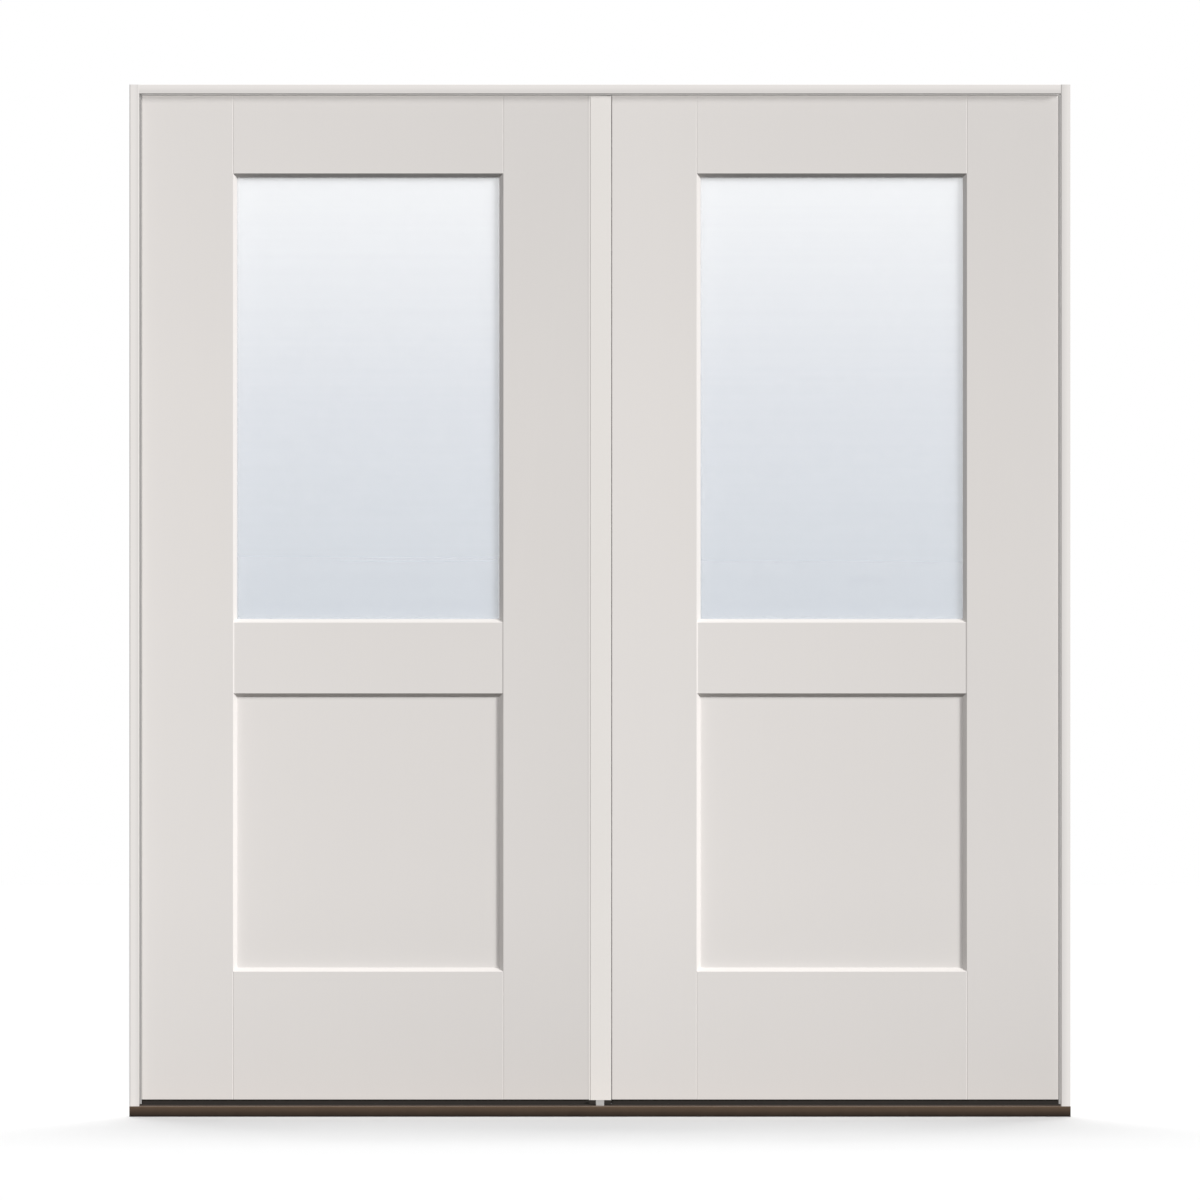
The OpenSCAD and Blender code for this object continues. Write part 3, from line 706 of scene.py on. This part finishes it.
def skin(rings: np.ndarray, first: np.ndarray, last: np.ndarray) -> Shape:
    """Closes a skin through stacked rings, with a point at each end.

    Each ring is joined to the next by four-sided faces, and the end rings to their points by triangles.

    Args:
        rings: points by ring, by place round it, by axis; seen from the last ring they turn anticlockwise.
        first: the point before the first ring.
        last: the point after the last ring.

    Returns:
        The points, and the faces by point number.
    """
    rows, around = rings.shape[:2]
    start = np.arange(rows - 1)[:, None] * around
    here = np.arange(around)[None, :]
    beyond = (here + 1) % around
    quads = np.stack([start + here, start + beyond, start + around + beyond, start + around + here], -1)
    ring, turn = here[0], beyond[0]
    end = (rows - 1) * around
    fan_first = np.stack([np.full(around, rows * around), turn, ring], -1)
    fan_last = np.stack([np.full(around, rows * around + 1), end + ring, end + turn], -1)
    points = np.concatenate([rings.reshape(-1, 3), first[None, :], last[None, :]])
    return points, quads.reshape(-1, 4).tolist() + fan_first.tolist() + fan_last.tolist()


def add_piece(name: str, shapes: Sequence[Shape], finish: Finish, body: str) -> bpy.types.Object:
    """Joins shapes into one new piece, dresses it and sets it on a body.

    Args:
        name: the piece's name.
        shapes: points and faces of each shape.
        finish: what it is made of.
        body: what it moves with.

    Returns:
        The piece's object.
    """
    points = np.concatenate([part for part, _ in shapes])
    starts = np.cumsum([0] + [len(part) for part, _ in shapes]).tolist()
    faces = [[index + start for index in face] for (_, part), start in zip(shapes, starts) for face in part]
    obj = mesh_piece(name, points, faces)
    obj.data.materials.append(finish.material())
    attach(obj, body)
    log.info("%s: %d faces on %s", name, len(faces), body)
    return obj


# --------------------------------------------------------------------------- finishes

WHITE: Colour = (1.0, 1.0, 1.0)
LEAF_TONE: Colour = (0.790, 0.757, 0.7315)
INNER_TONE: Colour = shade(LEAF_TONE, 0.93)
FRAME_TONE: Colour = (0.838, 0.806, 0.780)
TIMBER_TONE: Colour = (0.56, 0.38, 0.21)
DARK_TONE: Colour = (0.022, 0.018, 0.015)

# Places that the fades of painted shade start from: a leaf's lock and hinge edge, and edges of the frame
LEAF_EDGES: Span = (0.022, 0.924)
LEAF_TOP = 2.047
FRAME_SIDE = 0.941
FRAME_INNER = 0.922
FRAME_TOP = 2.064
HEAD_FOOT = 2.050

# Shaded copies of one frame paint, with painted shade: darker towards the inner edge where the opening's
# shade falls, and a thin dark line along the outer edge; the right jamb and the head get more, as the light
# falls from the upper right.
LEFT_JAMB_SHADED_PAINT = SatinPaint(
    "frame_paint_left",
    FRAME_TONE,
    fades=(
        Fade(Axis.X, -FRAME_INNER, -FRAME_INNER - 0.009, 0.12),
        Fade(Axis.X, -FRAME_SIDE, -FRAME_SIDE + 0.004, 0.08),
    ),
)
RIGHT_JAMB_SHADED_PAINT = SatinPaint(
    "frame_paint_right",
    FRAME_TONE,
    fades=(
        Fade(Axis.X, FRAME_INNER, FRAME_INNER + 0.014, 0.18),
        Fade(Axis.X, FRAME_SIDE, FRAME_SIDE - 0.003, 0.10),
    ),
)
HEAD_SHADED_PAINT = SatinPaint(
    "frame_paint_head",
    FRAME_TONE,
    run=Run.ALONG_X,
    fades=(
        Fade(Axis.Z, HEAD_FOOT, HEAD_FOOT + 0.008, 0.12),
        Fade(Axis.Z, FRAME_TOP, FRAME_TOP - 0.003, 0.09),
    ),
)
EDGE_PAINT = SatinPaint("edge_paint", INNER_TONE, rough=0.5, swing=0.06, peel=0.3)
ASTRAGAL_PAINT = SatinPaint("astragal_paint", (0.818, 0.786, 0.754))
INNER_PAINT = SatinPaint("leaf_paint_inside", INNER_TONE)
SURROUND = SatinPaint("surround", (0.783, 0.763, 0.743), rough=0.55)
TIMBER_Z = Timber("edge_timber_upright", TIMBER_TONE)
TIMBER_X = Timber("edge_timber_level", TIMBER_TONE, run=Run.ALONG_X)
COMPOSITE = Granular("composite", (0.27, 0.25, 0.21), grain=520.0)
CORE_FOAM = Granular("core_foam", (0.80, 0.70, 0.42), grain=1400.0, contrast=0.25, rough=0.9, relief=0.5)
OUTER_GLASS = PaneGlass("outer_pane_glass")
INNER_GLASS = PaneGlass("inner_pane_glass", body=0.08)
SPACER = DrawnMetal("spacer_bar", (0.60, 0.60, 0.61), rough=0.40, swing=0.12)
SWEEP = Rubber("sweep_rubber", DARK_TONE)
BRONZE = AnodisedNose("bronze_metal", (0.134, 0.089, 0.059))
CAP = Granular("cap_dark", DARK_TONE, grain=1300.0, rough=0.6, relief=0.2)
# Lit and shaded copies of one foam: the left strip is painted darker as painted shade, since the light from
# the right falls full on it, and the head's strip is painted near white as painted light, since it lies in
# shade.
STRIP_LEFT_SHADED = Rubber("strip_foam_left", (0.33, 0.322, 0.315), run=Run.ALONG_Z, rough=0.85, bloom=0.12)
STRIP_RIGHT = Rubber("strip_foam_right", (0.44, 0.43, 0.42), run=Run.ALONG_Z, rough=0.85, bloom=0.12)
STRIP_X_LIT = Rubber("strip_foam_level", (0.90, 0.88, 0.86), rough=0.85, bloom=0.06)
BOOT = Granular("boot_grey", (0.42, 0.41, 0.40), grain=1500.0, contrast=0.18, rough=0.55, relief=0.15)
STEEL = DrawnMetal("hinge_steel", (0.56, 0.54, 0.51))
SCREW = DrawnMetal("screw_steel", (0.50, 0.48, 0.46), run=Run.ALONG_Y, rough=0.30)
BOLT = DrawnMetal("bolt_steel", (0.55, 0.53, 0.50), rough=0.28)
FLOOR = FloorPaint("floor_pale", (0.86, 0.86, 0.86))


# --------------------------------------------------------------------------- sub-assemblies


@dataclass
class DoorFrame:
    """Jambs, head, sill, threshold cap, weatherstrip and head strike."""

    edge: float = 0.0003
    metal_edge: float = 0.0005

    def build(self) -> None:
        """Dresses every node of the frame."""
        sides = ((Side.LEFT, LEFT_JAMB_SHADED_PAINT, STRIP_LEFT_SHADED), (Side.RIGHT, RIGHT_JAMB_SHADED_PAINT, STRIP_RIGHT))
        for side, paint, strip in sides:
            soften(dress(f"{side.prefix}_jamb", paint), self.edge)
            dress(f"{side.prefix}_weatherstrip", strip)
        soften(dress("head_jamb", HEAD_SHADED_PAINT), self.edge)
        dress("head_weatherstrip", STRIP_X_LIT)
        soften(dress("sill_tread", BRONZE), self.metal_edge)
        dress("sill_base", COMPOSITE)
        soften(dress("threshold_cap", CAP), self.metal_edge)
        dress("head_strike", STEEL)


@dataclass
class Leaf:
    """One moulded leaf with its core, glazing and sweep."""

    side: Side
    edge: float = 0.0005
    # Shares and ends of the painted shade on the outer face; lock is a painted shadow line beside the
    # astragal's cover.
    across: float = 0.077
    foot: float = 0.068
    foot_end: float = 0.45
    crest: float = 0.03
    crest_end: float = 1.4
    lock: float = 0.07
    lock_reach: float = 0.005

    def build(self) -> None:
        """Dresses every node of the leaf."""
        name = self.side.prefix
        soften(dress(f"{name}_outer_skin", self.paint()), self.edge)
        soften(dress(f"{name}_inner_skin", INNER_PAINT), self.edge)
        for part, finish in self.inside().items():
            dress(f"{name}_{part}", finish)

    def paint(self) -> SatinPaint:
        """The outer face's paint with painted shade: darker to the right, at the foot and at the top, and a
        painted shadow line along the lock edge.
        """
        lock, hinge = LEAF_EDGES
        sign = self.side.value
        left, right = sorted((sign * lock, sign * hinge))
        fades = (
            Fade(Axis.X, right, left, self.across),
            Fade(Axis.Z, 0.0, self.foot_end, self.foot),
            Fade(Axis.Z, LEAF_TOP, self.crest_end, self.crest),
            Fade(Axis.X, sign * lock, sign * (lock + self.lock_reach), self.lock),
        )
        return SatinPaint(f"leaf_paint_{self.side.prefix}", LEAF_TONE, fades=fades)

    def inside(self) -> Dict[str, Finish]:
        """The finish of each piece between and below the skins."""
        return {
            "hinge_stile": EDGE_PAINT,
            "lock_stile": EDGE_PAINT,
            "lock_block": TIMBER_Z,
            "top_strip": TIMBER_X,
            "bottom_strip": COMPOSITE,
            "foam_core": CORE_FOAM,
            "glazing_surround": SURROUND,
            "outer_pane": OUTER_GLASS,
            "inner_pane": INNER_GLASS,
            "spacer": SPACER,
            "sweep": SWEEP,
        }


@dataclass
class MeetingEdge:
    """The astragal between the leaves with its seal, end piece, sweep and bolts."""

    edge: float = 0.0006

    def build(self) -> None:
        """Dresses every node at the meeting edge."""
        soften(dress("astragal", ASTRAGAL_PAINT), self.edge)
        dress("astragal_seal", STRIP_RIGHT)
        dress("astragal_boot", BOOT)
        dress("astragal_sweep", SWEEP)
        for node in ("bolt_plates", "top_bolt", "bottom_bolt"):
            dress(node, BOLT)


@dataclass
class CoverLip:
    """Soft lip along the free edge of the astragal's cover, which narrows the gap to the active leaf."""

    root: Span = (0.0188, 0.0657)
    chamfer: float = 0.0012
    back: float = 0.0707
    tip: float = 0.0223
    corner: float = 0.0005
    z_span: Span = (0.032, 2.0421)
    steps: int = 6

    def build(self) -> None:
        """Makes the lip and sets it on the passive leaf."""
        add_piece("cover_lip", [self.form()], ASTRAGAL_PAINT, Side.LEFT.body)

    def form(self) -> Shape:
        """A flat outline carried straight up the cover.

        The outline follows the cover's chamfer and side, then runs out to the tip, whose two corners are
        quarter circles.

        Returns:
            The points, and the faces by point number.
        """
        x0, y0 = self.root
        turn = np.linspace(-np.pi / 2.0, 0.0, self.steps)
        arc_x = self.tip - self.corner + self.corner * np.cos(turn)
        front_y = y0 + self.corner + self.corner * np.sin(turn)
        rear_y = self.back - self.corner - self.corner * np.sin(turn)
        side = x0 + self.chamfer
        x = np.concatenate([[x0], arc_x, arc_x[::-1], [side, side]])
        y = np.concatenate([[y0], front_y, rear_y[::-1], [self.back, y0 + self.chamfer]])
        level = np.array(self.z_span)[:, None]
        ones = np.ones_like(level)
        rings = np.stack([ones * x, ones * y, level * np.ones_like(x)], axis=-1)
        middle = np.array([(side + self.tip) / 2.0, (y0 + self.back) / 2.0])
        return skin(rings, np.append(middle, self.z_span[0]), np.append(middle, self.z_span[1]))


@dataclass
class FootPads:
    """Pads at the foot of the astragal: one on the tread, and a foam block each side of the end piece."""

    boot_half: float = 0.0083
    tread_y: Span = (0.0630, 0.0676)
    tread_z: Span = (0.0209, 0.0242)
    block_x: Tuple[Span, ...] = ((-0.0222, -0.0084), (0.0084, 0.0225))
    block_y: Span = (0.0672, 0.0706)
    block_z: Span = (0.02412, 0.0319)
    crown: float = 0.0007
    square: float = 9.0
    around: int = 72
    steps: int = 6

    def build(self) -> None:
        """Makes the pad on the frame and the blocks on the passive leaf."""
        pad = self.block((-self.boot_half, self.boot_half), self.tread_y, self.tread_z)
        add_piece("sill_pad", [pad], BOOT, "frame")
        blocks = [self.block(x_span, self.block_y, self.block_z) for x_span in self.block_x]
        add_piece("foot_blocks", blocks, SWEEP, Side.LEFT.body)

    def block(self, x_span: Span, y_span: Span, z_span: Span) -> Shape:
        """A squared ring stacked upwards, drawn in over its crown by a quarter of a circle.

        A ring's point at an angle is the half width times the cosine's power and the half depth times the
        sine's, with the power 2 over the squareness.

        Args:
            x_span: ends of the block along X.
            y_span: its ends along Y.
            z_span: its foot and top.

        Returns:
            The points, and the faces by point number.
        """
        (mid_x, half_w), (mid_y, half_d) = (
            ((low + high) / 2.0, (high - low) / 2.0) for low, high in (x_span, y_span)
        )
        angle = np.arange(self.around) * (2.0 * np.pi / self.around)
        cos, sin = np.cos(angle), np.sin(angle)
        power = 2.0 / self.square
        turn = np.linspace(0.0, np.pi / 2.0, self.steps)
        inset = np.concatenate([[0.0], self.crown * (1.0 - np.cos(turn))])[:, None]
        level = np.concatenate([[z_span[0]], z_span[1] - self.crown * (1.0 - np.sin(turn))])
        x = (half_w - inset) * np.sign(cos) * np.abs(cos) ** power + mid_x
        y = (half_d - inset) * np.sign(sin) * np.abs(sin) ** power + mid_y
        rings = np.stack([x, y, np.broadcast_to(level[:, None], x.shape)], axis=-1)
        return skin(rings, np.array([mid_x, mid_y, level[0]]), np.array([mid_x, mid_y, level[-1]]))


@dataclass
class Hinges:
    """Three hinges to a leaf, with countersunk cross-recess screws in place of the plain solids."""

    levels: Tuple[float, ...] = (1.818, 1.074, 0.330)
    holes: Tuple[Span, ...] = ((0.10448, 0.03774), (0.08936, 0.0153))
    frame_face: float = 0.927
    leaf_face: float = 0.924
    sink: float = 0.0001
    plate: float = 0.0024
    head_r: float = 0.0044
    shank_r: float = 0.0022
    point_r_share: float = 0.45
    shank_share: float = 0.86
    point_share: float = 0.97
    frame_reach: float = 0.009
    leaf_reach: float = 0.022
    cross_half: float = 0.00048
    cross_reach: float = 0.0023
    cross_depth: float = 0.0013
    cross_slope: float = 0.0004
    around: int = 48
    rings: int = 16

    def build(self) -> None:
        """Dresses plates and pins, and makes the three sets of screws."""
        for side in Side:
            for level in ("top", "middle", "bottom"):
                for part in ("frame_plate", "leaf_plate"):
                    dress(f"{side.prefix}_{level}_hinge_{part}", STEEL)
            dress(f"{side.prefix}_hinge_pins", STEEL)
        face = self.frame_face + self.sink
        frame_sets = [self.screw_set(side, face, 1, self.frame_reach) for side in Side]
        screws = add_piece("frame_screws", frame_sets, SCREW, "frame")
        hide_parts("frame_hinge_screws")
        for side in Side:
            leaf_set = self.screw_set(side, self.leaf_face - self.sink, -1, self.leaf_reach)
            name = f"{side.prefix}_leaf_screws"
            screws = add_piece(name, [leaf_set], SCREW, side.body)
            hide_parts(f"{side.prefix}_leaf_hinge_screws")

    def screw(self, reach: float) -> Shape:
        """One screw with its head's face at 0 and its tip along the first axis.

        A profile of radius against depth is turned round the axis. Over the head's face the depth is the
        cross's depth times how far the point lies inside either arm, over the width of the arms' slope.

        Args:
            reach: length below the plate.

        Returns:
            The points, and the faces by point number.
        """
        face_r = np.linspace(self.head_r / self.rings, self.head_r, self.rings)
        tip = self.plate + reach
        side_r = np.array([self.shank_r, self.shank_r, self.shank_r * self.point_r_share])
        side_d = np.array([self.head_r - self.shank_r, tip * self.shank_share, tip * self.point_share])
        radius = np.concatenate([face_r, side_r])
        depth = np.concatenate([np.zeros(self.rings), side_d])
        angle = np.arange(self.around) * (2.0 * np.pi / self.around)
        across = radius[:, None] * np.cos(angle)[None, :]
        up = radius[:, None] * np.sin(angle)[None, :]
        arm_a = np.maximum(np.abs(across) - self.cross_reach, np.abs(up) - self.cross_half)
        arm_b = np.maximum(np.abs(across) - self.cross_half, np.abs(up) - self.cross_reach)
        inside = np.clip(-np.minimum(arm_a, arm_b) / self.cross_slope, 0.0, 1.0)
        cut = np.where(depth[:, None] > 0.0, 0.0, self.cross_depth * inside)
        rings = np.stack([depth[:, None] + cut, across, up], axis=-1)
        return skin(rings, np.array([self.cross_depth, 0.0, 0.0]), np.array([tip, 0.0, 0.0]))

    def screw_set(self, side: Side, level_x: float, way: int, reach: float) -> Shape:
        """All the screws of one side in one part of its hinges.

        Args:
            side: which leaf.
            level_x: distance of the heads' faces from the door's middle.
            way: 1 for screws that run outwards into the jamb, -1 for those that run into the leaf.
            reach: length below the plate.

        Returns:
            The points, and the faces by point number.
        """
        points, faces = self.screw(reach)
        sign = side.value * way
        turned = points * np.array([sign, sign, 1.0])
        spots = np.array(
            [
                (side.value * level_x, y, level + up * z)
                for level in self.levels
                for y, z in self.holes
                for up in (-1.0, 1.0)
            ]
        )
        placed = (turned[None, :, :] + spots[:, None, :]).reshape(-1, 3)
        starts = [copy * len(points) for copy in range(len(spots))]
        moved = [[index + start for index in face] for start in starts for face in faces]
        return placed, moved


# --------------------------------------------------------------------------- light and camera


@dataclass(frozen=True)
class Sun:
    """A far light: the direction from the door to it, its strength, and its width in degrees."""

    name: str
    towards: Triple
    power: float
    width: float
    shadow: bool = True


@dataclass
class Studio:
    """Pale floor, soft light from the upper right, the front and behind, and the camera in front."""

    lens: float = 1100.0
    far: float = 400.0
    sensor: float = 36.0
    view_w: float = 2.4
    eye_z: float = 1.033
    floor_half: float = 60.0
    floor_z: float = -0.0008
    fill: float = 0.05
    gloss: float = 0.5
    key: Sun = Sun("key_light", (0.605, -0.417, 0.425), 1.47, 7.0)
    key_soft: Sun = Sun("key_soft_light", (0.605, -0.417, 0.425), 2.14, 20.0)
    front: Sun = Sun("front_light", (-0.32, -0.80, 0.50), 1.32, 10.0)
    rear: Sun = Sun("rear_light", (-0.42, 0.82, 0.38), 2.7, 16.0)
    rear_fill: Sun = Sun("rear_fill_light", (0.20, 1.0, 0.15), 0.55, 30.0)
    floor_rises: Tuple[float, ...] = (68.0, 48.0, 36.0, 28.0)
    floor_share: float = 0.365
    floor_width: float = 16.0
    floor_plain: Sun = Sun("floor_plain_light", (0.0, 0.0, 1.0), 1.9, 10.0, shadow=False)

    def build(self) -> None:
        """Makes the floor, the lights, the surroundings and the camera."""
        bpy.context.scene.view_settings.view_transform = "Standard"
        self.light(self.make_floor())
        self.surroundings()
        self.camera()

    def light(self, floor: bpy.types.Object) -> None:
        """Hangs the lights, and lets those from the front pass the frame, cover and strips listed for each.

        Args:
            floor: the floor, which has lights of its own.
        """
        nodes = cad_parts
        jambs = [nodes[name] for name in ("left_jamb", "right_jamb")]
        head = nodes["head_jamb"]
        strips = [nodes[name] for name in ("left_weatherstrip", "right_weatherstrip")]
        head_strip = nodes["head_weatherstrip"]
        cover = [nodes["astragal"], bpy.data.objects["cover_lip"]]
        let_by = {
            self.key: [*jambs, head, *strips, *cover, head_strip],
            self.key_soft: [*jambs, head, *strips, *cover],
            self.front: [*jambs, head, head_strip],
        }
        for sun in (self.key, self.key_soft, self.front, self.rear, self.rear_fill):
            light = self.hang(sun)
            self.link(light, "receiver_collection", [floor], "EXCLUDE")
            if sun in let_by:
                self.link(light, "blocker_collection", let_by[sun], "EXCLUDE")
        for sun in (*self.floor_soft(), self.floor_plain):
            self.link(self.hang(sun), "receiver_collection", [floor], "INCLUDE")
        for obj in (*jambs, head, *cover):
            obj.visible_diffuse = False

    def floor_soft(self) -> List[Sun]:
        """Lights from behind at several rises, with equal shares: together a long soft shadow."""
        suns = []
        for index, degrees in enumerate(self.floor_rises):
            rise = math.radians(degrees)
            towards = (0.0, math.cos(rise), math.sin(rise))
            suns.append(
                Sun(f"floor_light_{index}", towards, self.floor_share / math.sin(rise), self.floor_width)
            )
        return suns

    def make_floor(self) -> bpy.types.Object:
        """A level sheet on a grid of two by two points, under the sill."""
        side = np.array([-self.floor_half, self.floor_half])
        x, y = np.meshgrid(side, side)
        points = np.stack([x.ravel(), y.ravel(), np.full(x.size, self.floor_z)], axis=-1)
        floor = mesh_piece("floor", points, [[0, 1, 3, 2]])
        floor.data.materials.append(FLOOR.material())
        floor.visible_diffuse = False
        return floor

    def hang(self, sun: Sun) -> bpy.types.Object:
        """Adds a far light.

        Args:
            sun: the light's direction, strength and width.

        Returns:
            The light's object.
        """
        lamp = bpy.data.lights.new(sun.name, "SUN")
        lamp.energy = sun.power
        lamp.angle = math.radians(sun.width)
        lamp.use_shadow = sun.shadow
        obj = bpy.data.objects.new(sun.name, lamp)
        obj.rotation_mode = "QUATERNION"
        obj.rotation_quaternion = Vector(sun.towards).to_track_quat("Z", "Y")
        bpy.context.scene.collection.objects.link(obj)
        return obj

    def link(self, light: bpy.types.Object, kind: str, objs: Sequence[bpy.types.Object], state: str) -> None:
        """Says which objects a light reaches, or which of them stop it.

        Args:
            light: the light's object.
            kind: receiver_collection or blocker_collection.
            objs: the objects named.
            state: INCLUDE for these alone, EXCLUDE for all but these.
        """
        group = bpy.data.collections.new(f"{light.name}_{kind}")
        for obj in objs:
            group.objects.link(obj)
        for item in group.collection_objects:
            item.light_linking.link_state = state
        setattr(light.light_linking, kind, group)

    def surroundings(self) -> None:
        """White to the camera, bright in reflections, and a dim even fill elsewhere."""
        world = bpy.data.worlds.new("studio")
        world.use_nodes = True
        graph = Graph(world.node_tree)
        path = graph.node("ShaderNodeLightPath")
        seen = path["Is Camera Ray"] * (1.0 - self.fill)
        mirrored = path["Is Glossy Ray"] * (self.gloss - self.fill)
        sockets = {"Strength": seen + mirrored + self.fill, "Color": WHITE}
        sky = graph.node("ShaderNodeBackground", sockets=sockets)
        graph.node("ShaderNodeOutputWorld", sockets={"Surface": sky["Background"]})
        bpy.context.scene.world = world

    def camera(self) -> None:
        """A very long lens straight in front, so that the view is nearly parallel."""
        data = bpy.data.cameras.new("camera")
        data.lens = self.lens
        data.sensor_width = self.sensor
        data.clip_end = self.far
        obj = bpy.data.objects.new("camera", data)
        away = self.view_w * self.lens / self.sensor
        obj.location = (0.0, -away, self.eye_z)
        obj.rotation_euler = (math.pi / 2.0, 0.0, 0.0)
        bpy.context.scene.collection.objects.link(obj)
        bpy.context.scene.camera = obj


def main() -> None:
    """Builds the sub-assemblies in order, then the studio."""
    logging.basicConfig(level=logging.INFO, format="%(name)s %(message)s")
    DoorFrame().build()
    for side in Side:
        Leaf(side).build()
    MeetingEdge().build()
    CoverLip().build()
    FootPads().build()
    Hinges().build()
    Studio().build()


if __name__ == "__main__":
    main()
